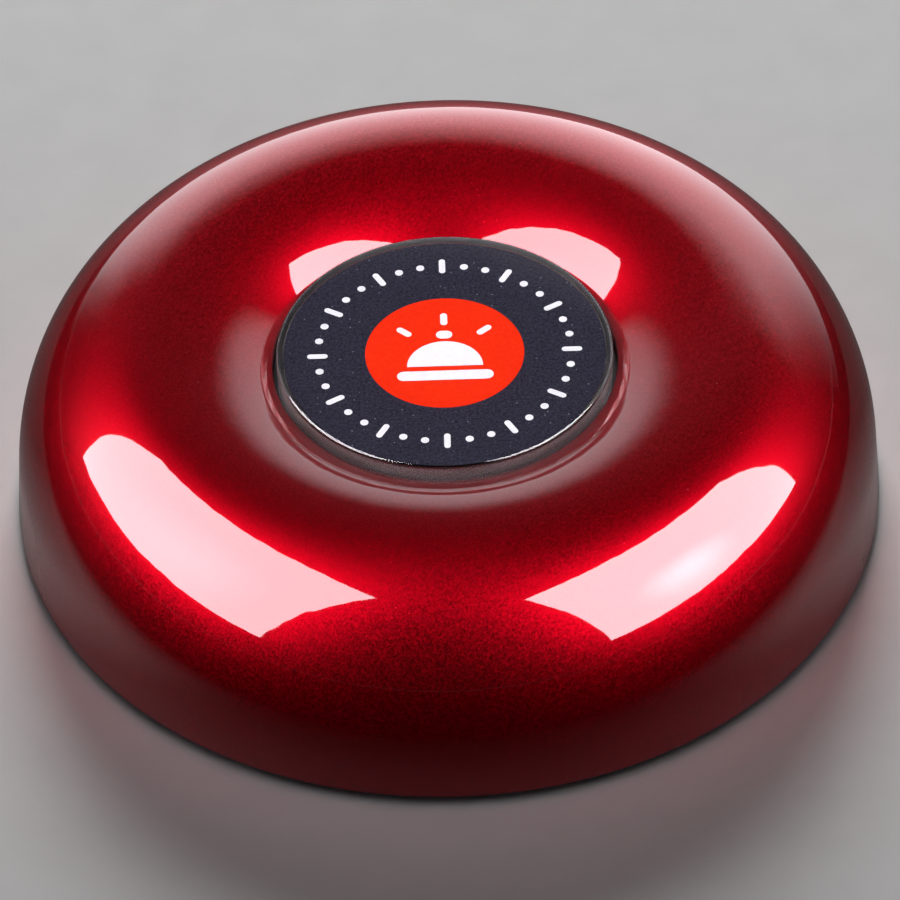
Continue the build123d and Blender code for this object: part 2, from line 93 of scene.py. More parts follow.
# ---- Return spring and antenna ----
board_z = 11.0
carrier_z = 17.4
spring_radius = 6.0
spring_wire = 0.6
coil_middle = 23.1
coil_radius = 2.1
coil_wire = 0.7
coil_pitch = 2.5
coil_turns = 4

# ---- Camera ----
camera_elevation = 44.13    # degrees
camera_distance = 850.0
camera_roll = -1.77         # degrees
camera_lens = 344.0
aim_right = 0.11            # point looked at, from the middle of the case's lower edge
aim_up = 3.73


# ---- Ways of making ----
def hex_colour(code):
    """Linear colour from an sRGB hex value."""
    channels = [int(code[i:i + 2], 16) / 255 for i in (1, 3, 5)]
    linear = [c / 12.92 if c <= 0.04045 else ((c + 0.055) / 1.055) ** 2.4 for c in channels]
    return (*linear, 1.0)


def per_size(size):
    """Texture scale that makes one grain as large as a size in millimetres."""
    return 1 / (size * MM)


def add(tree, kind, inputs=None, **settings):
    """Adds a node with its settings; an input is a value or another node's output."""
    made = tree.nodes.new(kind)
    for name, value in settings.items():
        setattr(made, name, value)
    for name, value in (inputs or {}).items():
        if isinstance(value, bpy.types.NodeSocket):
            tree.links.new(value, made.inputs[name])
        else:
            made.inputs[name].default_value = value
    return made


def surface(name, inputs):
    """Material with one Principled shader; gives the material, its tree and the shader's inputs."""
    made = bpy.data.materials.new(name)
    made.use_nodes = True
    shader = made.node_tree.nodes["Principled BSDF"]
    for socket, value in inputs.items():
        shader.inputs[socket].default_value = value
    return made, made.node_tree, shader.inputs


def dress(piece, finish):
    """Puts one material on a piece."""
    piece.data.materials.clear()
    piece.data.materials.append(finish)


def piece_from(name, points, faces, finish=None, sharp=30):
    """Object from points in millimetres, shaded smooth up to an angle between its faces."""
    mesh = bpy.data.meshes.new(name)
    mesh.from_pydata([Vector(p) * MM for p in points], [], faces)
    mesh.validate()
    mesh.shade_smooth()
    mesh.set_sharp_from_angle(angle=math.radians(sharp))
    made = bpy.data.objects.new(name, mesh)
    bpy.context.scene.collection.objects.link(made)
    if finish:
        dress(made, finish)
    return made


def arc(middle, across, up, start, end, steps):
    """Points of an ellipse's arc between two angles in degrees, as (radius, height) pairs."""
    turns = [math.radians(start + (end - start) * i / steps) for i in range(steps + 1)]
    return [(middle[0] + across * math.cos(t), middle[1] + up * math.sin(t)) for t in turns]


def turned(name, outline, finish=None, steps=FINE):
    """Solid turned on the Z axis from a closed outline of (radius, height) pairs."""
    points, rings = [], []
    for radius, height in outline:
        if radius < 1e-6:
            rings.append([len(points)] * steps)
            points.append((0, 0, height))
            continue
        rings.append(list(range(len(points), len(points) + steps)))
        for k in range(steps):
            turn = 2 * math.pi * k / steps
            points.append((radius * math.cos(turn), radius * math.sin(turn), height))
    faces = []
    for low, high in zip(rings, rings[1:] + rings[:1]):
        if low[0] == low[1] and high[0] == high[1]:
            continue
        for k in range(steps):
            n = (k + 1) % steps
            corners = [low[k], low[n], high[n], high[k]]
            faces.append([c for i, c in enumerate(corners) if c not in corners[:i]])
    return piece_from(name, points, faces, finish)


def wire(name, path, width, finish, sides=14):
    """Round wire along a path, with flat ends."""
    path = [Vector(p) for p in path]
    points, faces = [], []
    side = None
    for i, place in enumerate(path):
        ahead = (path[min(i + 1, len(path) - 1)] - path[max(i - 1, 0)]).normalized()
        side = (side - ahead * side.dot(ahead) if side else ahead.orthogonal()).normalized()
        other = ahead.cross(side)
        for k in range(sides):
            turn = 2 * math.pi * k / sides
            points.append(place + (side * math.cos(turn) + other * math.sin(turn)) * width / 2)
    for i in range(len(path) - 1):
        for k in range(sides):
            n = (k + 1) % sides
            a = i * sides
            faces.append([a + k, a + n, a + sides + n, a + sides + k])
    faces.append(list(range(sides))[::-1])
    faces.append([len(points) - sides + k for k in range(sides)])
    return piece_from(name, points, faces, finish, sharp=50)


def printed(name, outlines, finish, low=label_z):
    """Thin ink: flat outlines of (x, y) pairs, each as thick as the ink."""
    points, faces = [], []
    for outline in outlines:
        first, count = len(points), len(outline)
        points += [(x, y, low) for x, y in outline] + [(x, y, low + ink) for x, y in outline]
        faces.append([first + k for k in range(count)][::-1])
        faces.append([first + count + k for k in range(count)])
        for k in range(count):
            n = (k + 1) % count
            faces.append([first + k, first + n, first + count + n, first + count + k])
    return piece_from(name, points, faces, finish)


def rounded_bar(middle, length, width, turn, steps=8):
    """Outline of a bar with round ends, turned by degrees."""
    ends = []
    reach = (length - width) / 2
    for side, start in ((1, -90), (-1, 90)):
        for i in range(steps + 1):
            t = math.radians(start + 180 * i / steps)
            ends.append((side * reach + width / 2 * math.cos(t), width / 2 * math.sin(t)))
    c, s = math.cos(math.radians(turn)), math.sin(math.radians(turn))
    return [(middle[0] + x * c - y * s, middle[1] + x * s + y * c) for x, y in ends]


def cut_with(piece, tool, operation):
    """Joins a tool shape to a piece, or cuts it out, and takes the tool away."""
    change = piece.modifiers.new("change", "BOOLEAN")
    change.operation = operation
    change.object = tool
    change.solver = "EXACT"
    depsgraph = bpy.context.evaluated_depsgraph_get()
    mesh = bpy.data.meshes.new_from_object(piece.evaluated_get(depsgraph))
    piece.modifiers.clear()
    piece.data = mesh
    mesh.shade_smooth()
    mesh.set_sharp_from_angle(angle=math.radians(30))
    bpy.data.objects.remove(tool)


# ---- Finishes ----
def candy_lacquer():
    """Candy-red lacquer on metal flake under a polished clear coat: deep red that lights up
    in a soft glow of fine sparks round each reflection. At a glancing angle light crosses
    more of the tinted lacquer, so the metal's own shine is weaker there."""
    made, tree, shader = surface("candy_lacquer", {
        "Metallic": 0.8,
        "Specular IOR Level": 0.0,
        "Specular Tint": hex_colour("#C8F0F0"),
        "Coat Weight": 1.0,
        "Coat Roughness": 0.03,
        "Coat IOR": 1.5,
    })
    place = add(tree, "ShaderNodeTexCoord").outputs["Object"]
    normal = add(tree, "ShaderNodeNewGeometry").outputs["Normal"]
    # Flakes, drawn coarser than real at 0.16 mm, lie a little askew, each with its own tint
    # and shine.
    flakes = add(tree, "ShaderNodeTexVoronoi", {"Vector": place, "Scale": per_size(0.16)})
    chance = flakes.outputs["Color"]
    tint = add(tree, "ShaderNodeMix", {
        0: chance, 6: hex_colour("#6E010A"), 7: hex_colour("#7E010C"),
    }, data_type="RGBA")
    tree.links.new(tint.outputs[2], shader["Base Color"])
    tilt = add(tree, "ShaderNodeVectorMath", {0: chance, 1: (0.5, 0.5, 0.5)}, operation="SUBTRACT")
    lean = add(tree, "ShaderNodeVectorMath", {0: tilt.outputs[0], "Scale": 0.055}, operation="SCALE")
    leaned = add(tree, "ShaderNodeVectorMath", {0: normal, 1: lean.outputs[0]}, operation="ADD")
    unit = add(tree, "ShaderNodeVectorMath", {0: leaned.outputs[0]}, operation="NORMALIZE")
    tree.links.new(unit.outputs[0], shader["Normal"])
    grade = add(tree, "ShaderNodeMapRange", {"Value": chance, "To Min": 0.32, "To Max": 0.46})
    tree.links.new(grade.outputs[0], shader["Roughness"])
    # Sprayed clear coat settles in a faint swell of about 3 mm, which waves a highlight's edge.
    swell = add(tree, "ShaderNodeTexNoise", {"Vector": place, "Scale": per_size(3.2), "Detail": 1.0})
    peel = add(tree, "ShaderNodeBump", {
        "Height": swell.outputs["Fac"], "Strength": 1.0, "Distance": 0.018 * MM,
    })
    tree.links.new(peel.outputs[0], shader["Coat Normal"])
    return made


def clear_acrylic():
    """Clear moulded acrylic: its flat top is polished, and its side keeps the satin of the
    mould, which softens what shows through it."""
    made, tree, shader = surface("clear_acrylic", {
        "Base Color": hex_colour("#FFFFFF"),
        "IOR": 1.49,
    })
    facing = add(tree, "ShaderNodeSeparateXYZ", {0: add(tree, "ShaderNodeNewGeometry").outputs["Normal"]})
    level = add(tree, "ShaderNodeMath", {0: facing.outputs["Z"]}, operation="ABSOLUTE")
    satin = add(tree, "ShaderNodeMapRange", {
        "Value": level.outputs[0], "From Min": 0.2, "From Max": 0.97, "To Min": 0.1, "To Max": 0.0,
    })
    tree.links.new(satin.outputs[0], shader["Roughness"])
    haze = add(tree, "ShaderNodeMapRange", {
        "Value": level.outputs[0], "From Min": 0.2, "From Max": 0.5, "To Min": 0.91, "To Max": 1.0,
    })
    tree.links.new(haze.outputs[0], shader["Transmission Weight"])
    shadow = add(tree, "ShaderNodeLightPath").outputs["Is Shadow Ray"]
    clear = add(tree, "ShaderNodeBsdfTransparent", {"Color": hex_colour("#F6F6F8")})
    glass = tree.nodes["Principled BSDF"].outputs[0]
    mix = add(tree, "ShaderNodeMixShader", {0: shadow, 1: glass, 2: clear.outputs[0]})
    tree.links.new(mix.outputs[0], tree.nodes["Material Output"].inputs["Surface"])
    return made


def grained(name, dark, light, grain, gloss, relief, stretch=(1, 1, 1), **inputs):
    """Finish with an irregular grain of a size in millimetres. It moves the colour between
    two shades and the roughness between two values, and stands up by relief in millimetres."""
    made, tree, shader = surface(name, inputs)
    place = add(tree, "ShaderNodeTexCoord").outputs["Object"]
    drawn = add(tree, "ShaderNodeVectorMath", {0: place, 1: stretch}, operation="MULTIPLY")
    noise = add(tree, "ShaderNodeTexNoise", {
        "Vector": drawn.outputs[0], "Scale": per_size(grain), "Detail": 3.0,
    }).outputs["Fac"]
    shade = add(tree, "ShaderNodeMapRange", {"Value": noise, "From Min": 0.3, "From Max": 0.7})
    colour = add(tree, "ShaderNodeMix", {
        0: shade.outputs[0], 6: hex_colour(dark), 7: hex_colour(light),
    }, data_type="RGBA")
    tree.links.new(colour.outputs[2], shader["Base Color"])
    shine = add(tree, "ShaderNodeMapRange", {
        "Value": noise, "From Min": 0.3, "From Max": 0.7, "To Min": gloss[0], "To Max": gloss[1],
    })
    tree.links.new(shine.outputs[0], shader["Roughness"])
    bump = add(tree, "ShaderNodeBump", {"Height": noise, "Strength": 1.0, "Distance": relief * MM})
    tree.links.new(bump.outputs[0], shader["Normal"])
    return made


def specked(finish, spacing, size, colour):
    """Scatters small round specks over a finish, a spacing apart, in millimetres."""
    tree = finish.node_tree
    shader = tree.nodes["Principled BSDF"].inputs
    place = add(tree, "ShaderNodeTexCoord").outputs["Object"]
    cells = add(tree, "ShaderNodeTexVoronoi", {"Vector": place, "Scale": per_size(spacing)})
    share = size / spacing
    speck = add(tree, "ShaderNodeMapRange", {
        "Value": cells.outputs["Distance"],
        "From Min": 0.3 * share, "From Max": 0.6 * share, "To Min": 1.0, "To Max": 0.0,
    })
    body = shader["Base Color"].links[0].from_socket
    mixed = add(tree, "ShaderNodeMix", {
        0: speck.outputs[0], 6: body, 7: hex_colour(colour),
    }, data_type="RGBA")
    tree.links.new(mixed.outputs[2], shader["Base Color"])
    return finish


def metal_ends(finish, along, half, colour="#C9C8C2"):
    """Bright tin on the parts of a finish's piece that lie further out than half, in
    millimetres, from a chip's middle; along gives how far out a point lies."""
    tree = finish.node_tree
    shader = tree.nodes["Principled BSDF"].inputs
    out = add(tree, "ShaderNodeMath", {0: along(tree)}, operation="ABSOLUTE")
    ends = add(tree, "ShaderNodeMath", {0: out.outputs[0], 1: half * MM}, operation="GREATER_THAN").outputs[0]
    body = shader["Base Color"].links[0].from_socket
    mixed = add(tree, "ShaderNodeMix", {0: ends, 6: body, 7: hex_colour(colour)}, data_type="RGBA")
    tree.links.new(mixed.outputs[2], shader["Base Color"])
    tree.links.new(ends, shader["Metallic"])
    body = shader["Roughness"].links[0].from_socket
    mixed = add(tree, "ShaderNodeMix", {0: ends, 2: body, 3: 0.32})
    tree.links.new(mixed.outputs[0], shader["Roughness"])
    return finish


def across_chip(turn, distance):
    """Distance from a chip's long middle line, for a chip at a turn and distance from the axis."""
    def along(tree):
        place = add(tree, "ShaderNodeTexCoord").outputs["Object"]
        way = (math.cos(math.radians(turn)), math.sin(math.radians(turn)), 0)
        dot = add(tree, "ShaderNodeVectorMath", {0: place, 1: way}, operation="DOT_PRODUCT")
        off = {0: dot.outputs["Value"], 1: distance * MM}
        return add(tree, "ShaderNodeMath", off, operation="SUBTRACT").outputs[0]
    return along


def across_ring(tree):
    """Distance from the ring that the small chips stand on."""
    place = add(tree, "ShaderNodeTexCoord").outputs["Object"]
    flat = add(tree, "ShaderNodeVectorMath", {0: place, 1: (1, 1, 0)}, operation="MULTIPLY")
    reach = add(tree, "ShaderNodeVectorMath", {0: flat.outputs[0]}, operation="LENGTH")
    off = {0: reach.outputs["Value"], 1: coil_middle * MM}
    return add(tree, "ShaderNodeMath", off, operation="SUBTRACT").outputs[0]


def circuit_laminate():
    """Glass-fibre board under green solder resist: copper runs show through as lighter,
    slightly raised lines, and the sawn edge shows the straw-coloured fibre."""
    made, tree, shader = surface("circuit_laminate", {
        "IOR": 1.55, "Coat Weight": 0.4, "Coat Roughness": 0.15,
    })
    place = add(tree, "ShaderNodeTexCoord").outputs["Object"]
    # Patches of about 5 mm hold copper runs 0.3 mm wide and 0.8 mm apart, along X in some
    # and along Y in others, and some patches stay bare.
    patches = add(tree, "ShaderNodeTexVoronoi", {"Vector": place, "Scale": per_size(5.0), "Randomness": 0.7},
                  distance="CHEBYCHEV", voronoi_dimensions="2D")
    chance = add(tree, "ShaderNodeSeparateColor", {0: patches.outputs["Color"]})
    axes = add(tree, "ShaderNodeSeparateXYZ", {0: place})
    along_y = add(tree, "ShaderNodeMath", {0: chance.outputs[0], 1: 0.5}, operation="GREATER_THAN")
    across = add(tree, "ShaderNodeMix", {0: along_y.outputs[0], 2: axes.outputs["Y"], 3: axes.outputs["X"]})
    beside = add(tree, "ShaderNodeMath", {0: across.outputs[0], 1: 0.4 * MM}, operation="PINGPONG")
    line = add(tree, "ShaderNodeMapRange", {
        "Value": beside.outputs[0],
        "From Min": 0.13 * MM, "From Max": 0.17 * MM, "To Min": 1.0, "To Max": 0.0,
    })
    laid = add(tree, "ShaderNodeMath", {0: chance.outputs[1], 1: 0.4}, operation="GREATER_THAN")
    run = add(tree, "ShaderNodeMath", {0: line.outputs[0], 1: laid.outputs[0]}, operation="MULTIPLY")
    resist = add(tree, "ShaderNodeMix", {
        0: run.outputs[0], 6: hex_colour("#0A4422"), 7: hex_colour("#145F30"),
    }, data_type="RGBA")
    facing = add(tree, "ShaderNodeSeparateXYZ", {0: add(tree, "ShaderNodeNewGeometry").outputs["Normal"]})
    level = add(tree, "ShaderNodeMath", {0: facing.outputs["Z"]}, operation="ABSOLUTE")
    flat = add(tree, "ShaderNodeMath", {0: level.outputs[0], 1: 0.5}, operation="GREATER_THAN")
    colour = add(tree, "ShaderNodeMix", {
        0: flat.outputs[0], 6: hex_colour("#A89A62"), 7: resist.outputs[2],
    }, data_type="RGBA")
    tree.links.new(colour.outputs[2], shader["Base Color"])
    weave = add(tree, "ShaderNodeTexNoise", {"Vector": place, "Scale": per_size(0.4)})
    shine = add(tree, "ShaderNodeMapRange", {"Value": weave.outputs["Fac"], "To Min": 0.3, "To Max": 0.5})
    tree.links.new(shine.outputs[0], shader["Roughness"])
    bump = add(tree, "ShaderNodeBump", {"Height": run.outputs[0], "Strength": 1.0, "Distance": 0.03 * MM})
    tree.links.new(bump.outputs[0], shader["Normal"])
    return made


def lamp_epoxy():
    """Red-tinted clear epoxy of an indicator lamp: it glows with the light that enters it."""
    made, tree, shader = surface("lamp_epoxy", {
        "Base Color": hex_colour("#F03A2C"), "IOR": 1.53, "Transmission Weight": 0.85,
    })
    place = add(tree, "ShaderNodeTexCoord").outputs["Object"]
    cloud = add(tree, "ShaderNodeTexNoise", {"Vector": place, "Scale": per_size(0.8)})
    haze = add(tree, "ShaderNodeMapRange", {"Value": cloud.outputs["Fac"], "To Min": 0.04, "To Max": 0.16})
    tree.links.new(haze.outputs[0], shader["Roughness"])
    return made


# Here and there a speck of brighter red is painted into the base colour, a painted glint
# of a flake that lies flat and sparkles; a few grains of dust are caught under the clear coat.
lacquer = specked(specked(candy_lacquer(), 1.3, 0.15, "#A80A1A"), 5.0, 0.14, "#A06068")
acrylic = clear_acrylic()
# The film and its inks are stuck to the acrylic's underside, so they have no gloss of their own.
dull = {"Specular IOR Level": 0.0}
film = specked(grained("pebbled_film", "#201F29", "#3B3A47", 0.26, (0.55, 0.75), 0.03, **dull),
               0.9, 0.13, "#8A8D9A")
orange_ink = grained("orange_ink", "#EA2B0F", "#F03315", 0.3, (0.5, 0.6), 0.004, **dull)
white_ink = grained("white_ink", "#ECECEF", "#F6F6F9", 0.3, (0.5, 0.6), 0.004, **dull)
# Black ABS from a spark-eroded mould: a fine even pebble breaks up its shine.
abs_black = grained("moulded_abs", "#101012", "#1A1A1D", 0.28, (0.42, 0.62), 0.012, IOR=1.53)
rubber = grained("moulded_rubber", "#2E2E30", "#3C3C3E", 0.45, (0.75, 0.95), 0.02, IOR=1.52)
zinc = grained("zinc_plate", "#B4B7BA", "#C6C8CA", 0.25, (0.26, 0.38), 0.0008, Metallic=1.0)
# Spring wire is drawn through a die, which leaves fine lines and a soft shine.
wire_steel = grained("drawn_steel", "#93918D", "#B8B6B1", 0.18, (0.22, 0.4), 0.003,
                     stretch=(1, 1, 4), Metallic=1.0)
nylon = grained("glass_filled_nylon", "#121213", "#1E1E20", 0.14, (0.45, 0.65), 0.008, IOR=1.53)
# Tin over brass strip keeps the rolling lines of the strip.
tin = grained("tinned_strip", "#B4B2A9", "#D0CEC6", 0.2, (0.2, 0.4), 0.003, stretch=(1, 5, 5), Metallic=1.0)
nickel = grained("nickel_plate", "#B5B1A6", "#CFCBC1", 0.25, (0.14, 0.3), 0.002,
                 stretch=(5, 1, 5), Metallic=1.0)
copper = grained("bare_copper", "#A9603A", "#C98556", 0.3, (0.2, 0.38), 0.002, Metallic=1.0)
# Moulded epoxy shows the fine sand of its filler; the chips' leads are tinned.
encoder_body = metal_ends(
    grained("encoder_epoxy", "#151517", "#202023", 0.16, (0.5, 0.7), 0.006, IOR=1.55),
    across_chip(330, coil_middle), 1.96)
transmitter_body = metal_ends(
    grained("transmitter_epoxy", "#151517", "#202023", 0.16, (0.5, 0.7), 0.006, IOR=1.55),
    across_chip(180, 10.8), 1.96)
ceramic = metal_ends(
    grained("fired_ceramic", "#8C6F4C", "#A88A63", 0.12, (0.35, 0.55), 0.004, IOR=1.6),
    across_ring, 0.62)
glaze = metal_ends(
    grained("resistor_glaze", "#101014", "#1C1C22", 0.2, (0.15, 0.35), 0.003, IOR=1.5),
    across_ring, 0.62)

for finish, names in (
    (film, ["label_disc"]),
    (abs_black, ["cap_carrier", "base_plate", "battery_door"]),
    (rubber, ["rubber_feet"]),
    (zinc, ["case_screws", "board_screws"]),
    (nylon, ["switch_housing", "switch_plunger"]),
    (tin, ["switch_cover", "switch_terminals", "positive_contact", "negative_contact"]),
    # Gilded holes of 0.6 mm join the runs of the two sides.
    (specked(circuit_laminate(), 3.2, 0.6, "#CDB878"), ["circuit_board"]),
    (encoder_body, ["encoder_chip"]),
    (transmitter_body, ["transmitter_chip"]),
    (nickel, ["quartz_crystal", "coin_cell"]),
    (lamp_epoxy(), ["indicator_led"]),
    (ceramic, ["chip_capacitors"]),
    (glaze, ["chip_resistors"]),
):
    for name in names:
        dress(node[name], finish)

# ---- Case shell ----
dish_depth = crest_z - mouth_z
dish_width = crest_radius - well_radius
dish_curve = (dish_width ** 2 + dish_depth ** 2) / (2 * dish_depth)
rim_middle = rim_radius + rim_round
rim_rise = math.sqrt((dish_curve - rim_round) ** 2 - (crest_radius - rim_middle) ** 2)
rim_angle = math.degrees(math.atan2(rim_rise, rim_middle - crest_radius))
inner_width = crest_radius - skirt_radius
inner_curve = (inner_width ** 2 + dish_depth ** 2) / (2 * dish_depth)
inner_angle = math.degrees(math.atan2(inner_curve - dish_depth, -inner_width))
lip_middle = case_radius - 0.32
shoulder_rise = crest_z - shoulder_z
shell_outline = (
    arc((lip_middle, case_z + lip_round), lip_round, lip_round, -90, wall_lean, 6)
    + arc((crest_radius, shoulder_z), shoulder_out, shoulder_rise, shoulder_start, 90, 64)
    + arc((crest_radius, crest_z - dish_curve), dish_curve, dish_curve, 90, rim_angle, 30)[1:]
    + arc((rim_middle, crest_z - dish_curve + rim_rise), rim_round, rim_round, rim_angle, 180, 6)[1:]
    + [(well_radius, skirt_z), (skirt_radius, skirt_z)]
    + arc((crest_radius, crest_z - shell_wall - inner_curve), inner_curve, inner_curve, inner_angle, 90, 10)
    + arc((crest_radius, shoulder_z), shoulder_out - shell_wall, shoulder_rise - shell_wall, 90, 0, 16)[1:]
    + [(case_radius - shell_wall, case_z)]
)
shell = turned("case_shell", shell_outline, lacquer)

for direction in hook_directions:
    turn = math.radians(direction)
    # Screw boss, which runs up into the wall.
    x, y = boss_circle * math.cos(turn), boss_circle * math.sin(turn)
    points, steps = [], 32
    for height in (boss_z, None):
        for k in range(steps):
            a = 2 * math.pi * k / steps
            px, py = x + boss_radius * math.cos(a), y + boss_radius * math.sin(a)
            out = (math.hypot(px, py) - crest_radius) / shoulder_out
            roof = shoulder_z + shoulder_rise * math.sqrt(1 - out ** 2) - shell_wall / 2
            points.append((px, py, height or roof))
    out = (boss_circle - crest_radius) / shoulder_out
    points.append((x, y, shoulder_z + shoulder_rise * math.sqrt(1 - out ** 2) - shell_wall / 2))
    faces = [[k, (k + 1) % steps, steps + (k + 1) % steps, steps + k] for k in range(steps)]
    faces += [[steps + k, steps + (k + 1) % steps, 2 * steps] for k in range(steps)]
    faces.append(list(range(steps))[::-1])
    cut_with(shell, piece_from("boss", points, faces), "UNION")
    bore = [
        (x + screw_bore * math.cos(2 * math.pi * k / 24), y + screw_bore * math.sin(2 * math.pi * k / 24), z)
        for z in (boss_z - 1, screw_bore_top) for k in range(24)
    ]
    faces = [[k, (k + 1) % 24, 24 + (k + 1) % 24, 24 + k] for k in range(24)]
    faces += [list(range(24))[::-1], list(range(24, 48))]
    cut_with(shell, piece_from("bore", bore, faces), "DIFFERENCE")
    # Slot that one hook of the carrier moves in.
    half = math.radians(slot_span / 2)
    near, far = well_radius - 1, skirt_radius + 1
    wedge = [
        (radius * math.cos(turn + half * side), radius * math.sin(turn + half * side), z)
        for z in (skirt_z - 1, stop_z)
        for radius, side in ((near, -1), (far, -1), (far, 1), (near, 1))
    ]
    faces = [[0, 3, 2, 1], [4, 5, 6, 7]] + [[k, (k + 1) % 4, 4 + (k + 1) % 4, 4 + k] for k in range(4)]
    cut_with(shell, piece_from("slot", wedge, faces), "DIFFERENCE")
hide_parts("top_shell")
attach(shell, "case")

# ---- Cap ----
inner_radius = cap_radius - cap_wall
cap_outline = (
    [(0, cap_high), (8, cap_high), (13, cap_high), (cap_radius - cap_round - 0.3, cap_high)]
    + arc((cap_radius - cap_round, cap_high - cap_round), cap_round, cap_round, 90, 0, 8)
    + [(cap_radius, cap_low), (inner_radius, cap_low), (inner_radius, cap_high - cap_layer),
       (13, cap_high - cap_layer), (8, cap_high - cap_layer), (0, cap_high - cap_layer)]
)
cap = turned("clear_cap", cap_outline[::-1], acrylic)
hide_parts("push_cap")
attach(cap, "cap")

# ---- Print on the label ----
middle = printed("orange_middle", [[
    (middle_radius * math.cos(2 * math.pi * k / 128), middle_radius * math.sin(2 * math.pi * k / 128))
    for k in range(128)
]], orange_ink, low=label_z - ink / 2)
marks = []
for k in range(mark_count):
    turn = 360 * k / mark_count
    place = (mark_circle * math.cos(math.radians(turn)), mark_circle * math.sin(math.radians(turn)))
    if k % 3 == 0:
        marks.append(rounded_bar(place, bar_length, bar_width, turn))
    else:
        marks.append(rounded_bar(place, dot_width + 0.001, dot_width, turn))
ring = printed("white_marks", marks, white_ink)

# Service bell: foot, dome, knob and three strokes of sound.
dome = [(3.7 * math.cos(math.radians(t)), -1.9 + 3.5 * math.sin(math.radians(t))) for t in range(0, 181, 6)]
strokes = [
    rounded_bar((5.1 * math.cos(math.radians(t)), -0.2 + 5.1 * math.sin(math.radians(t))), 1.7, 0.7, t)
    for t in (40, 140)
]
bell = printed("white_bell", [
    rounded_bar((0, -3.2), 9.4, 1.3, 0),
    dome,
    rounded_bar((0, 2.55), 1.6, 1.1, 0),
    rounded_bar((0, 4.75), 1.7, 0.7, 90),
] + strokes, white_ink, low=label_z + ink / 2)
for piece in (middle, ring, bell):
    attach(piece, "cap")

# ---- Return spring: closed end turns, open turns between ----
spring_low, spring_high = board_z + spring_wire / 2, carrier_z - spring_wire / 2
spring_path = []
for i in range(241):
    turns = 4.5 * i / 240
    rise = 0.0
    for start, end, pitch in ((0, 0.75, spring_wire), (0.75, 3.75, None), (3.75, 4.5, spring_wire)):
        part = min(max(turns - start, 0), end - start)
        rise += part * (pitch or (spring_high - spring_low - 1.5 * spring_wire) / 3)
    turn = 2 * math.pi * turns
    spring_path.append((spring_radius * math.cos(turn), spring_radius * math.sin(turn), spring_low + rise))
spring = wire("return_coil", spring_path, spring_wire, wire_steel)
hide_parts("return_spring")
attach(spring, "case")
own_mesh(spring)

# ---- Antenna coil ----
coil_z = board_z + coil_radius + coil_wire
coil_length = coil_pitch * coil_turns
leg_z = coil_z - coil_radius - 0.1
coil_path = [(-coil_length / 2, coil_middle, board_z), (-coil_length / 2, coil_middle, leg_z)]
for i in range(coil_turns * 32 + 1):
    turn = 2 * math.pi * i / 32 - math.pi / 2
    coil_path.append((
        -coil_length / 2 + coil_pitch * i / 32,
        coil_middle + coil_radius * math.cos(turn),
        coil_z + coil_radius * math.sin(turn),
    ))
coil_path += [(coil_length / 2, coil_middle, leg_z), (coil_length / 2, coil_middle, board_z)]
antenna = wire("antenna_wire", coil_path, coil_wire, copper)
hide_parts("antenna_coil")
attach(antenna, "case")

# ---- Floor and lights ----
# Pale matt board: a broad, hardly visible mottle keeps it from looking like nothing at all.
pale_board = grained("pale_board", "#B4B4B4", "#B8B8B8", 6.0, (0.85, 0.95), 0.0,
                     **{"Specular IOR Level": 0.1})
floor_reach = 3000
floor = piece_from("floor", [
    (-floor_reach, -floor_reach, 0), (floor_reach, -floor_reach, 0),
    (floor_reach, floor_reach, 0), (-floor_reach, floor_reach, 0),
], [[0, 1, 2, 3]], pale_board)


def glowing_card(name, points, faces, strength):
    """Card that shows in gloss alone; gives its tree, its cover and its glow."""
    made = bpy.data.materials.new(name)
    made.use_nodes = True
    tree = made.node_tree
    tree.nodes.clear()
    glow = add(tree, "ShaderNodeEmission", {"Color": hex_colour("#FFFAFF"), "Strength": strength})
    clear = add(tree, "ShaderNodeBsdfTransparent").outputs[0]
    solid = add(tree, "ShaderNodeMixShader", {0: 1.0, 1: clear, 2: glow.outputs[0]})
    add(tree, "ShaderNodeOutputMaterial", {"Surface": solid.outputs[0]})
    card = piece_from(name, points, faces, made)
    card.visible_camera = False
    card.visible_diffuse = False
    card.visible_transmission = False
    card.visible_shadow = False
    return tree, solid.inputs[0], glow.inputs["Strength"]


# Two tall soft boxes at the front corners, each a little brighter round its lamp.
for name, corners, lamp_at, reach, edge_glow, lamp_glow in (
    ("left_box", [(-307, -294, 95), (-221, 73, 59), (-137, 111, 226), (-128, -233, 464)],
     (-222, -61, 141), 150, 14.2, 16.6),
    ("right_box", [(322, 44, 77), (199, -266, 78), (163, -349, 588), (356, 136, 476)],
     (254, -125, 164), 95, 15.8, 23.0),
):
    tree, _, glow = glowing_card(name, corners, [[0, 1, 2, 3]], edge_glow)
    place = add(tree, "ShaderNodeTexCoord").outputs["Object"]
    off = add(tree, "ShaderNodeVectorMath", {0: place, 1: Vector(lamp_at) * MM}, operation="DISTANCE")
    power = add(tree, "ShaderNodeMapRange", {
        "Value": off.outputs["Value"], "From Max": reach * MM, "To Min": lamp_glow, "To Max": edge_glow,
    }, interpolation_type="SMOOTHSTEP")
    tree.links.new(power.outputs[0], glow)
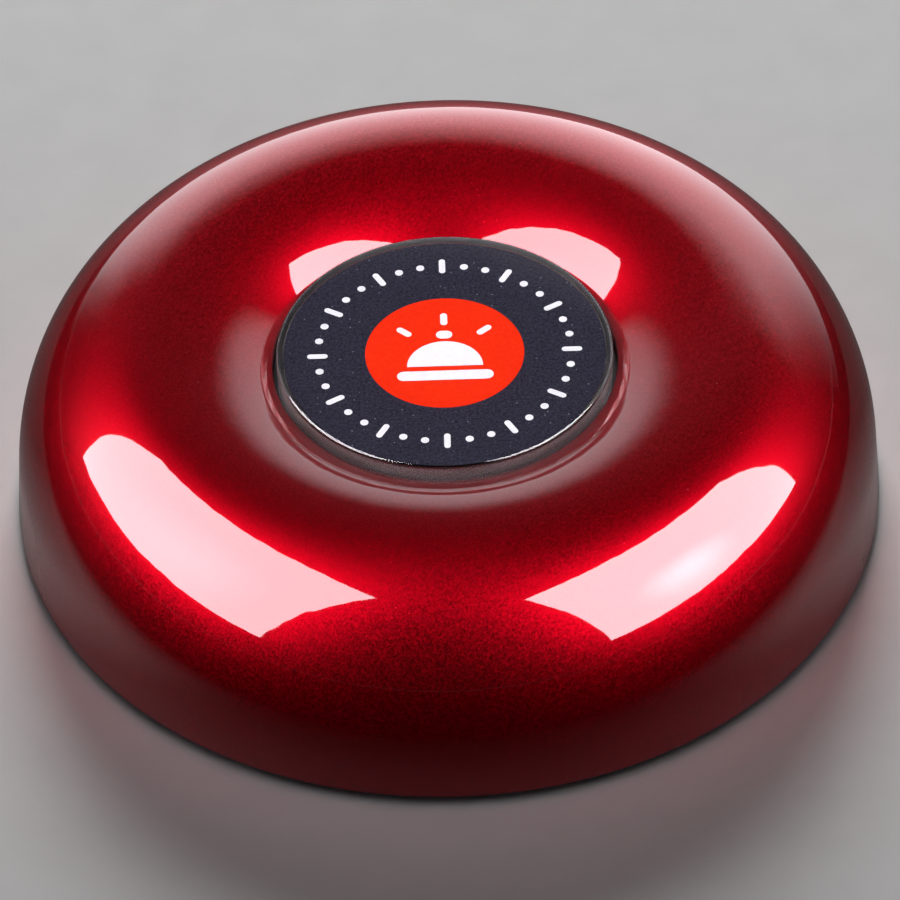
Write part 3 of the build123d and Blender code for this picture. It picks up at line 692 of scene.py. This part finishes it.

# Black sheet over the floor that shows in gloss alone, with a soft opening like an arch that runs straight to
# the back:
# painted shade in the reflections, so the gloss sees the pale floor close by, dims it towards the back, and
# is black beyond.
sheet_z, sheet_reach, arch_middle, arch_radius, arch_soft = 0.3, 600, 27.0, 74.0, 10.0
tree, cover, _ = glowing_card("gloss_shade_sheet", [
    (-sheet_reach, -sheet_reach, sheet_z), (sheet_reach, -sheet_reach, sheet_z),
    (sheet_reach, sheet_reach, sheet_z), (-sheet_reach, sheet_reach, sheet_z),
], [[0, 1, 2, 3]], 0.0)
place = add(tree, "ShaderNodeSeparateXYZ", {0: add(tree, "ShaderNodeTexCoord").outputs["Object"]})
ahead = add(tree, "ShaderNodeMath", {0: place.outputs["Y"], 1: arch_middle * MM}, operation="MINIMUM")
spot = add(tree, "ShaderNodeCombineXYZ", {"X": place.outputs["X"], "Y": ahead.outputs[0]})
off = add(tree, "ShaderNodeVectorMath", {
    0: spot.outputs[0], 1: (0, arch_middle * MM, 0),
}, operation="DISTANCE")
beyond = add(tree, "ShaderNodeMapRange", {
    "Value": off.outputs["Value"],
    "From Min": (arch_radius - arch_soft) * MM, "From Max": (arch_radius + arch_soft) * MM,
}, interpolation_type="SMOOTHSTEP")
# Painted shade in the gloss: the sheet covers more of the pale floor towards the back.
back_shade = add(tree, "ShaderNodeMapRange", {
    "Value": place.outputs["Y"], "From Min": -30 * MM, "From Max": 15 * MM, "To Min": 0.0, "To Max": 0.84,
})
reflection_shade = add(tree, "ShaderNodeMath", {0: beyond.outputs[0], 1: back_shade.outputs[0]}, operation="MAXIMUM")
tree.links.new(reflection_shade.outputs[0], cover)

# White card close behind: its top fades out, and its glow weakens with distance.
card_points, card_faces = [], []
card_reach, card_y, card_low, card_sag, card_high, card_step = 110, 49, 21.1, 0.0013, 76, 5
for i in range(2 * card_reach // card_step + 1):
    x = -card_reach + card_step * i
    card_points += [(x, card_y, card_low - card_sag * x * x), (x, card_y, card_high)]
    if i:
        card_faces.append([2 * i - 2, 2 * i, 2 * i + 1, 2 * i - 1])
tree, cover, glow = glowing_card("back_card", card_points, card_faces, 1.0)
place = add(tree, "ShaderNodeSeparateXYZ", {0: add(tree, "ShaderNodeTexCoord").outputs["Object"]})
across = add(tree, "ShaderNodeMapRange", {
    "Value": place.outputs["X"], "From Min": -card_reach * MM, "From Max": card_reach * MM,
})
# Share of the full glow along X, and height in millimetres where the top fades out.
sides = add(tree, "ShaderNodeFloatCurve", {"Value": across.outputs[0]})
for x, y in ((-72, 0.0), (-60, 0.14), (-48, 0.6), (-36, 0.76), (0, 0.7), (18, 0.86), (30, 1.0),
             (42, 1.0), (57, 0.78), (72, 0.42), (90, 0.1)):
    sides.mapping.curves[0].points.new((x + card_reach) / (2 * card_reach), y)
top = add(tree, "ShaderNodeFloatCurve", {"Value": across.outputs[0]})
for x, y in ((-50, 40), (-32, 49), (-20, 48), (0, 45), (9, 49), (15, 53), (23, 58), (40, 61)):
    top.mapping.curves[0].points.new((x + card_reach) / (2 * card_reach), y / 100)
for curve, first, last in ((sides, 0.0, 0.0), (top, 0.38, 0.6)):
    points = curve.mapping.curves[0].points
    points[0].location = (0, first)
    points[len(points) - 1].location = (1, last)
    curve.mapping.update()
edge = add(tree, "ShaderNodeMath", {0: top.outputs[0], 1: -0.1}, operation="MULTIPLY")
above = add(tree, "ShaderNodeMath", {0: place.outputs["Z"], 1: edge.outputs[0]}, operation="ADD")
fade = add(tree, "ShaderNodeMapRange", {
    "Value": above.outputs[0], "From Min": -11 * MM, "From Max": 11 * MM, "To Min": 1.0, "To Max": 0.0,
}, interpolation_type="SMOOTHSTEP")
power = add(tree, "ShaderNodeMath", {0: sides.outputs[0], 1: fade.outputs[0]}, operation="MULTIPLY")
tree.links.new(power.outputs[0], cover)
card_glow, falloff = 46, 0.78
length = add(tree, "ShaderNodeLightPath").outputs["Ray Length"]
reach = add(tree, "ShaderNodeMath", {0: length, 1: -falloff}, operation="POWER")
gain = card_glow * MM ** falloff
strength = add(tree, "ShaderNodeMath", {0: reach.outputs[0], 1: gain}, operation="MULTIPLY")
tree.links.new(strength.outputs[0], glow)


def soft_lamp(name, place, size, watts):
    """Large soft lamp that lights without showing in gloss."""
    data = bpy.data.lights.new(name, "AREA")
    data.shape = "SQUARE"
    data.size = size * MM
    data.energy = watts
    lamp = bpy.data.objects.new(name, data)
    lamp.location = Vector(place) * MM
    lamp.rotation_euler = (-lamp.location).to_track_quat("-Z", "Y").to_euler()
    lamp.visible_glossy = False
    lamp.visible_transmission = False
    bpy.context.scene.collection.objects.link(lamp)


soft_lamp("back_lamp", (0, 750, 470), 400, 11.0)
soft_lamp("top_lamp", (0, 0, 900), 900, 1.4)

world = bpy.data.worlds.new("studio")
world.use_nodes = True
world.node_tree.nodes["Background"].inputs["Color"].default_value = (1, 1, 1, 1)
world.node_tree.nodes["Background"].inputs["Strength"].default_value = 0.01
bpy.context.scene.world = world

# ---- Camera ----
angle = math.radians(camera_elevation)
back = Vector((0, -math.cos(angle), math.sin(angle)))
foot = Vector((0, 0, case_z * MM))
position = foot + back * camera_distance * MM
roll = Quaternion((0, 0, 1), math.radians(camera_roll))
target = foot + ((-back).to_track_quat("-Z", "Y") @ roll @ Vector((aim_right, aim_up, 0))) * MM
camera_data = bpy.data.cameras.new("camera")
camera_data.lens = camera_lens
camera_data.sensor_width = 36
camera_data.clip_start = 0.01
camera = bpy.data.objects.new("camera", camera_data)
camera.location = position
camera.rotation_mode = "QUATERNION"
camera.rotation_quaternion = (target - position).to_track_quat("-Z", "Y") @ roll
bpy.context.scene.collection.objects.link(camera)
bpy.context.scene.camera = camera
bpy.context.scene.view_settings.view_transform = "Standard"
